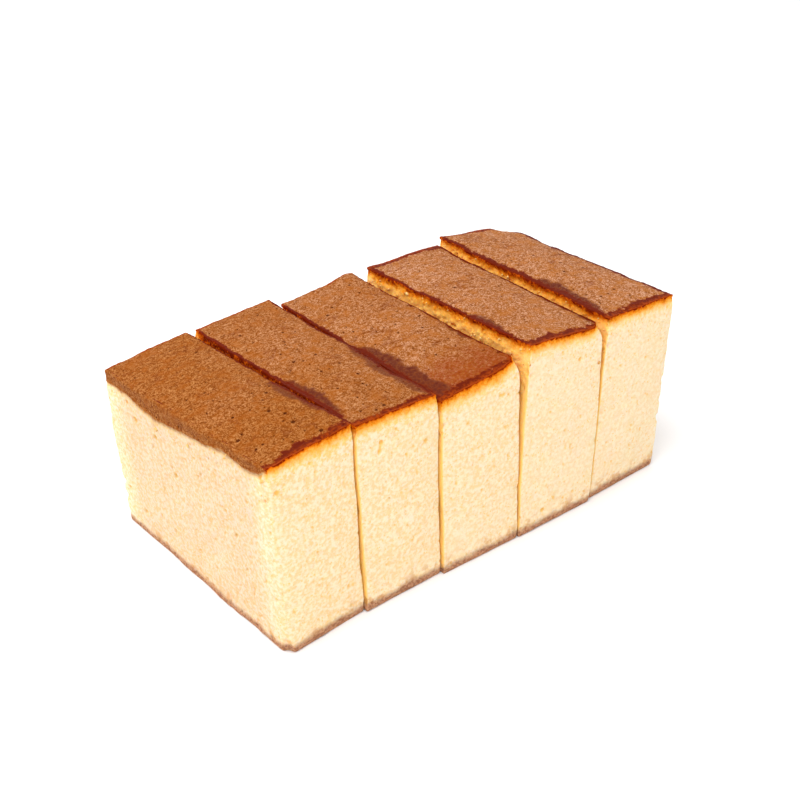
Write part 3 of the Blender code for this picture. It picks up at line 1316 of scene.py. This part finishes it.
@dataclass(frozen=True)
class CastellaFinish:
    """The baked finish of a slice: browned skin, cut sponge and base crust in one material.

    Attributes:
        skin: Colours of the top.
        crumb: Colours of the cut faces and the base.
        into_start: Where the scale of colours under the skin begins, in millimetres.
        into_end: Where it ends.
        skin_gloss: Roughness of the skin.
        damp_gloss: Roughness of a stain.
        rim_gloss: Roughness of the baked band.
        crumb_gloss: Roughness of cut sponge.
        specular: Strength of the reflections.
        skin_glow: How much light passes through the skin's surface.
        crumb_glow: How much light passes through the sponge's surface.
        glow_reach: How far red, green and blue light travel inside, in millimetres.
        relief: Height of the finest relief, in millimetres.
        relief_strength: How strongly it shows, 0 to 1.
    """

    skin: SkinColours = SkinColours()
    crumb: CrumbColours = CrumbColours()
    into_start: float = -1.0
    into_end: float = 12.0
    skin_gloss: float = 0.58
    damp_gloss: float = 0.4
    rim_gloss: float = 0.42
    crumb_gloss: float = 0.85
    specular: float = 0.025
    skin_glow: float = 0.05
    crumb_glow: float = 0.4
    glow_reach: tuple[float, float, float] = (2.4, 1.3, 0.5)
    relief: float = 0.16
    relief_strength: float = 0.8

    def plain_skin(self, nodes: FinishNodes) -> bpy.types.NodeSocket:
        """Return the skin's colour off its edges: specks, patches, fine lines, painted sheen and
        shade.

        Args:
            nodes: The finish being made.

        Returns:
            The colour.
        """
        specks = nodes.plus(nodes.times(nodes.lumps(0.45, 2.0, 0.6), 0.6),
                            nodes.times(nodes.lumps(1.1, 3.0, 0.6), 0.4))
        colour = nodes.scale(specks, ((0.39, self.skin.deep), (0.49, self.skin.brown),
                                      (0.59, self.skin.tan)))
        patches = nodes.grade(nodes.lumps(4.5, 3.0, 0.6), 0.44, 0.68, 0.0, 0.6)
        colour = nodes.blend(patches, colour, self.skin.ginger)
        # Painted sheen: the skin is multiplied by a blend that pales and pinks it on the paler
        # slices.
        sheen_and_tone = nodes.blend(nodes.painted("pale"), self.skin.least_sheen_tone, self.skin.most_sheen_tone)
        colour = nodes.blend(1.0, colour, sheen_and_tone, "MULTIPLY")
        waves = nodes.minus(nodes.lumps(9.0, 3.0, 0.5, (0.45, 1.0, 1.0)), 0.5)
        crease = nodes.grade(nodes.sums("ABSOLUTE", waves, 0.0), 0.0, 0.03, 0.5, 0.0)
        line = nodes.times(crease, nodes.grade(nodes.lumps(14.0, 2.0), 0.48, 0.6))
        colour = nodes.blend(line, colour, self.skin.wrinkle)
        # Painted shade: the skin darkens in its pinholes and crease hollows.
        hollow = nodes.grade(nodes.painted("hollow"), 0.08, 0.6, 0.0, 0.9)
        return nodes.blend(hollow, colour, self.skin.pinhole)

    def skin_colour(self, nodes: FinishNodes) -> bpy.types.NodeSocket:
        """Return the top's colour: the plain skin with its flush, its stains and its dark rim.

        Args:
            nodes: The finish being made.

        Returns:
            The colour.
        """
        flush = nodes.times(nodes.painted("flush"),
                            nodes.grade(nodes.lumps(0.9, 3.0, 0.7), 0.36, 0.6, 0.4, 1.0))
        colour = nodes.blend(flush, self.plain_skin(nodes), self.skin.flush)
        stain = nodes.times(nodes.painted("stain"),
                            nodes.grade(nodes.lumps(1.1, 3.0, 0.7), 0.3, 0.6, 0.6, 1.0))
        colour = nodes.blend(stain, colour, self.skin.damp)
        ragged = nodes.grade(nodes.lumps(0.8, 3.0, 0.7), 0.3, 0.7, -0.3, 0.3)
        rim = nodes.plus(nodes.painted("rim"), ragged)
        halo = nodes.times(nodes.grade(rim, 0.1, 0.6, 0.0, 0.8),
                           nodes.grade(nodes.painted("end_near"), 0.0, 1.0, 0.35, 1.0))
        colour = nodes.blend(halo, colour, self.skin.flush)
        outer = nodes.grade(nodes.plus(nodes.painted("into"), ragged), -1.5, -0.1)
        embers = nodes.larger(outer, nodes.grade(nodes.lumps(1.4, 3.0, 0.7), 0.4, 0.62))
        embers = nodes.times(embers, nodes.painted("end_edge"))
        baked = nodes.blend(embers, self.skin.rim, self.skin.ember)
        share = nodes.times(nodes.grade(rim, 0.35, 0.8),
                            nodes.grade(nodes.painted("rim"), 0.1, 0.4))
        return nodes.blend(share, colour, baked)

    def browning(self, nodes: FinishNodes) -> bpy.types.NodeSocket:
        """Return the cut faces' colour from the skin inwards, with the skin's own fold.

        Args:
            nodes: The finish being made.

        Returns:
            The colour.
        """
        wander = nodes.plus(nodes.grade(nodes.lumps(1.1, 3.0, 0.7), 0.25, 0.75, -0.9, 0.9),
                            nodes.grade(nodes.lumps(3.6, 2.0), 0.3, 0.7, -0.6, 0.6))
        reach = nodes.plus(nodes.painted("into"), wander)
        span = self.into_end - self.into_start
        place = nodes.sums("DIVIDE", nodes.minus(reach, self.into_start), span)
        stops = ((1.4, self.crumb.burnt), (2.3, self.crumb.caramel), (3.8, self.crumb.amber),
                 (5.4, self.crumb.honey), (7.4, self.crumb.straw), (12.0, self.crumb.cream))
        colour = nodes.scale(place, tuple((depth / span, tint) for depth, tint in stops))
        folded = nodes.blend(nodes.grade(reach, -0.5, 6.0), self.skin.brown, self.crumb.cream)
        return nodes.blend(nodes.painted("fold"), colour, folded)

    def sponge(self, nodes: FinishNodes) -> bpy.types.NodeSocket:
        """Return the cut faces' colour: browning, lumps, bubbles, and painted light, haze and shade.

        Args:
            nodes: The finish being made.

        Returns:
            The colour.
        """
        into = nodes.painted("into")
        # Painted warm light on the faces between slices, a few millimetres under the skin, less near
        # the ends.
        under_skin = nodes.times(nodes.grade(into, 3.0, 7.0),
                                 nodes.grade(into, 12.0, 22.0, 1.0, 0.3))
        between = nodes.times(nodes.times(nodes.painted("between"), under_skin),
                              nodes.grade(nodes.painted("end_near"), 0.0, 1.0, 1.0, 0.3))
        colour = nodes.blend(between, self.browning(nodes), self.crumb.gap_light)
        inside = nodes.minus(nodes.grade(into, 3.0, 9.0), between)
        pale = nodes.times(inside, nodes.grade(nodes.lumps(1.3, 3.0, 0.6), 0.36, 0.64))
        colour = nodes.blend(pale, colour, self.crumb.pale)
        # Painted haze of reflected light, which pales the cut faces more where the painted sheen is
        # stronger.
        painted_haze = nodes.times(inside, nodes.grade(nodes.painted("pale"), 0.0, 1.0, 0.0, 0.35))
        colour = nodes.blend(painted_haze, colour, self.crumb.pale)
        # Painted warm light in the narrow ends of the cuts, where the gap would otherwise be in deep
        # shade.
        seam = nodes.times(nodes.times(nodes.painted("between"), nodes.grade(into, 4.0, 10.0)),
                           nodes.grade(nodes.painted("end_near"), 0.0, 0.7))
        crumbly = nodes.grade(nodes.lumps(1.3, 3.0, 0.7), 0.34, 0.6, 0.75, 1.0)
        colour = nodes.blend(nodes.times(seam, crumbly), colour, self.crumb.seam)
        bubbles = nodes.times(nodes.grade(nodes.bubbles(1.3), 0.36, 0.08, 0.0, 0.75),
                              nodes.grade(nodes.lumps(5.0, 2.0), 0.4, 0.62, 0.25, 1.0))
        hollow = nodes.larger(nodes.grade(nodes.painted("hollow"), 0.08, 0.8, 0.0, 0.9), bubbles)
        hollow = nodes.times(hollow, nodes.grade(into, 1.5, 5.0))
        colour = nodes.blend(hollow, colour, self.crumb.yolk)
        # Painted shade that darkens a long face without a neighbour.
        open_side_shade = nodes.times(nodes.painted("open_side_shade"), nodes.grade(into, 0.0, 3.0))
        return nodes.blend(open_side_shade, colour, self.crumb.open_side_shade, "MULTIPLY")

    def crumb_colour(self, nodes: FinishNodes) -> bpy.types.NodeSocket:
        """Return the cut faces' colour with the base crust and the toasted blotches above it.

        Args:
            nodes: The finish being made.

        Returns:
            The colour.
        """
        blotches = nodes.times(nodes.painted("foot"),
                               nodes.grade(nodes.lumps(4.0, 3.0, 0.6), 0.5, 0.66, 0.0, 0.8))
        colour = nodes.blend(blotches, self.sponge(nodes), self.crumb.toast)
        specks = nodes.grade(nodes.lumps(0.9, 3.0, 0.7), 0.4, 0.6)
        base = nodes.blend(specks, self.crumb.base, self.crumb.base_dark)
        return nodes.blend(nodes.painted("base"), colour, base)

    def gloss(self, nodes: FinishNodes, cake: bpy.types.NodeSocket) -> bpy.types.NodeSocket:
        """Return the roughness, which is lowest where the skin is damp or baked hard.

        Args:
            nodes: The finish being made.
            cake: 0 on the skin and 1 on the sponge and the base.

        Returns:
            The roughness.
        """
        damp = nodes.grade(nodes.painted("stain"), 0.0, 1.0, self.skin_gloss, self.damp_gloss)
        baked = nodes.grade(nodes.painted("rim"), 0.0, 1.0, 0.0,
                            self.skin_gloss - self.rim_gloss)
        top = nodes.times(nodes.minus(1.0, cake), nodes.minus(damp, baked))
        return nodes.plus(nodes.times(cake, self.crumb_gloss), top)

    def height(self, nodes: FinishNodes, cake: bpy.types.NodeSocket) -> bpy.types.NodeSocket:
        """Return the finest relief: grains on the skin, open bubbles in the sponge.

        Args:
            nodes: The finish being made.
            cake: 0 on the skin and 1 on the sponge and the base.

        Returns:
            The relief, about 0 to 1.
        """
        bubbles = nodes.grade(nodes.bubbles(0.8), 0.0, 0.55)
        froth = nodes.times(bubbles, nodes.lumps(0.7, 2.0, 0.6))
        grains = nodes.times(nodes.minus(1.0, cake), nodes.lumps(0.5, 2.0, 0.6))
        return nodes.plus(nodes.times(cake, froth), grains)

    def build(self) -> bpy.types.Material:
        """Make the finish.

        Returns:
            A material that reads what was painted on the slices.
        """
        material = bpy.data.materials.new("castella_sponge")
        material.use_nodes = True
        nodes = FinishNodes(material)
        shader = material.node_tree.nodes["Principled BSDF"]
        cake = nodes.grade(nodes.painted("into"), -0.25, 0.35)
        cake = nodes.larger(cake, nodes.painted("base"))
        colour = nodes.blend(cake, self.skin_colour(nodes), self.crumb_colour(nodes))
        nodes.feed(shader.inputs["Base Color"], colour)
        nodes.feed(shader.inputs["Roughness"], self.gloss(nodes, cake))
        shader.inputs["Specular IOR Level"].default_value = self.specular
        glow = nodes.grade(cake, 0.0, 1.0, self.skin_glow, self.crumb_glow)
        nodes.feed(shader.inputs["Subsurface Weight"], glow)
        shader.inputs["Subsurface Radius"].default_value = self.glow_reach
        shader.inputs["Subsurface Scale"].default_value = MM
        bump = nodes.add("ShaderNodeBump")
        bump.inputs["Strength"].default_value = self.relief_strength
        bump.inputs["Distance"].default_value = self.relief * MM
        nodes.feed(bump.inputs["Height"], self.height(nodes, cake))
        nodes.feed(shader.inputs["Normal"], bump.outputs["Normal"])
        return material


@dataclass(frozen=True)
class CrumbFinish:
    """The finish of the loose crumbs.

    Attributes:
        cream: The commonest colour.
        toast: The darker crumbs.
        gloss: Roughness.
        relief: Height of the finest relief, in millimetres.
    """

    cream: Colour = shade(240, 200, 124)
    toast: Colour = shade(206, 138, 60)
    gloss: float = 0.85
    relief: float = 0.1

    def build(self) -> bpy.types.Material:
        """Make the finish.

        Returns:
            A material for the loose crumbs.
        """
        material = bpy.data.materials.new("loose_crumb")
        material.use_nodes = True
        nodes = FinishNodes(material)
        shader = material.node_tree.nodes["Principled BSDF"]
        share = nodes.grade(nodes.lumps(2.0, 3.0, 0.6), 0.45, 0.65)
        nodes.feed(shader.inputs["Base Color"], nodes.blend(share, self.cream, self.toast))
        shader.inputs["Roughness"].default_value = self.gloss
        bump = nodes.add("ShaderNodeBump")
        bump.inputs["Distance"].default_value = self.relief * MM
        nodes.feed(bump.inputs["Height"], nodes.lumps(0.4))
        nodes.feed(shader.inputs["Normal"], bump.outputs["Normal"])
        return material


def dress(item: bpy.types.Object, material: bpy.types.Material) -> None:
    """Give an object its finish.

    Args:
        item: The object.
        material: Its finish.
    """
    item.data.materials.clear()
    item.data.materials.append(material)


# --------------------------------------------------------------------------------------------
# Floor, light and camera


@dataclass(frozen=True)
class Softbox:
    """A square area light.

    Attributes:
        name: The light's name.
        place: Where it hangs, in metres.
        side: Length of its side in metres.
        power: Strength in watts.
    """

    name: str
    place: tuple[float, float, float]
    side: float
    power: float

    def hang(self, aim: Vector) -> None:
        """Hang the light so that it faces a point.

        Args:
            aim: The point, in metres.
        """
        light = bpy.data.lights.new(self.name, "AREA")
        light.size = self.side
        light.energy = self.power
        item = bpy.data.objects.new(self.name, light)
        item.location = self.place
        item.rotation_euler = (aim - Vector(self.place)).to_track_quat("-Z", "Y").to_euler()
        bpy.context.scene.collection.objects.link(item)


@dataclass(frozen=True)
class Studio:
    """The white room that the cake stands in.

    Attributes:
        aim: The point that the camera and the lights face, in metres.
        distance: From there to the camera, in metres.
        azimuth: Bearing of the camera in degrees, 0 in front and minus to the left.
        elevation: Its height above level, in degrees.
        roll: Its tilt about its own axis, in degrees.
        lens: Focal length in millimetres.
        sensor: Width of the camera's frame in millimetres.
        sky: Strength of the white surroundings.
        floor_side: Side of the floor in metres.
        floor_gap: How far it lies under the cake, in millimetres.
        boxes: The lights.
    """

    aim: tuple[float, float, float] = (0.0059, 0.00585, 0.03446)
    distance: float = 0.4928
    azimuth: float = -38.52
    elevation: float = 31.83
    roll: float = -0.66
    lens: float = 62.85
    sensor: float = 36.0
    sky: float = 0.72
    floor_side: float = 6.0
    floor_gap: float = 0.05
    boxes: tuple[Softbox, ...] = (
        Softbox("overhead_softbox", (-0.3, -0.3, 1.0), 0.7, 8.0),
        Softbox("back_softbox", (-0.47, 0.88, 0.7), 0.6, 7.0),
    )

    def lay_floor(self) -> None:
        """Lay a pale, faintly uneven floor just under the cake."""
        half = self.floor_side / 2 / MM
        corners = np.array([[-1, -1], [1, -1], [1, 1], [-1, 1]]) * half
        places = np.column_stack([corners, np.full(4, -self.floor_gap)])
        floor = surface_object("floor", places, np.array([[0, 1, 2, 3]]))
        material = bpy.data.materials.new("white_floor")
        material.use_nodes = True
        nodes = FinishNodes(material)
        shader = material.node_tree.nodes["Principled BSDF"]
        colour = nodes.blend(nodes.lumps(60.0), (0.93, 0.93, 0.935, 1), (0.95, 0.95, 0.955, 1))
        nodes.feed(shader.inputs["Base Color"], colour)
        shader.inputs["Roughness"].default_value = 0.7
        dress(floor, material)

    def hang_lights(self) -> None:
        """Light the room evenly and hang the softboxes."""
        world = bpy.data.worlds.new("white_room")
        world.use_nodes = True
        world.node_tree.nodes["Background"].inputs["Color"].default_value = (1, 1, 1, 1)
        world.node_tree.nodes["Background"].inputs["Strength"].default_value = self.sky
        bpy.context.scene.world = world
        for box in self.boxes:
            box.hang(Vector(self.aim))

    def place_camera(self) -> None:
        """Stand the camera on its bearing, turned to the aim and rolled about its own axis."""
        turn, rise = math.radians(self.azimuth), math.radians(self.elevation)
        back = Vector((math.sin(turn) * math.cos(rise), -math.cos(turn) * math.cos(rise),
                       math.sin(rise)))
        camera = bpy.data.objects.new("camera", bpy.data.cameras.new("camera"))
        camera.data.sensor_width = self.sensor
        camera.data.lens = self.lens
        camera.data.clip_start = 0.01
        spin = Matrix.Rotation(math.radians(self.roll), 4, "Z")
        facing_aim = back.to_track_quat("Z", "Y").to_matrix().to_4x4()
        place = Matrix.Translation(Vector(self.aim) + self.distance * back)
        camera.matrix_world = place @ facing_aim @ spin
        bpy.context.scene.collection.objects.link(camera)
        bpy.context.scene.camera = camera

    def build(self) -> None:
        """Set up the floor, the lights and the camera."""
        bpy.context.scene.view_settings.view_transform = "Standard"
        self.lay_floor()
        self.hang_lights()
        self.place_camera()


def main() -> None:
    """Build every slice, the crumbs and the room, and report each piece."""
    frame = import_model()
    Studio().build()
    finish = CastellaFinish().build()
    pieces = []
    for name, look in LOOKS.items():
        piece = SpongeSlice(solid=frame["nodes"][name], look=look)
        item = piece.build()
        dress(item, finish)
        pieces.append(piece)
        log.info("%s: %d cells", item.name, len(piece.quads))
    crumbs = Crumbs().build(pieces)
    dress(crumbs, CrumbFinish().build())
    log.info("%s: %d faces", crumbs.name, len(crumbs.data.polygons))


if __name__ == "__main__":
    logging.basicConfig(level=logging.INFO, format="%(message)s")
    main()
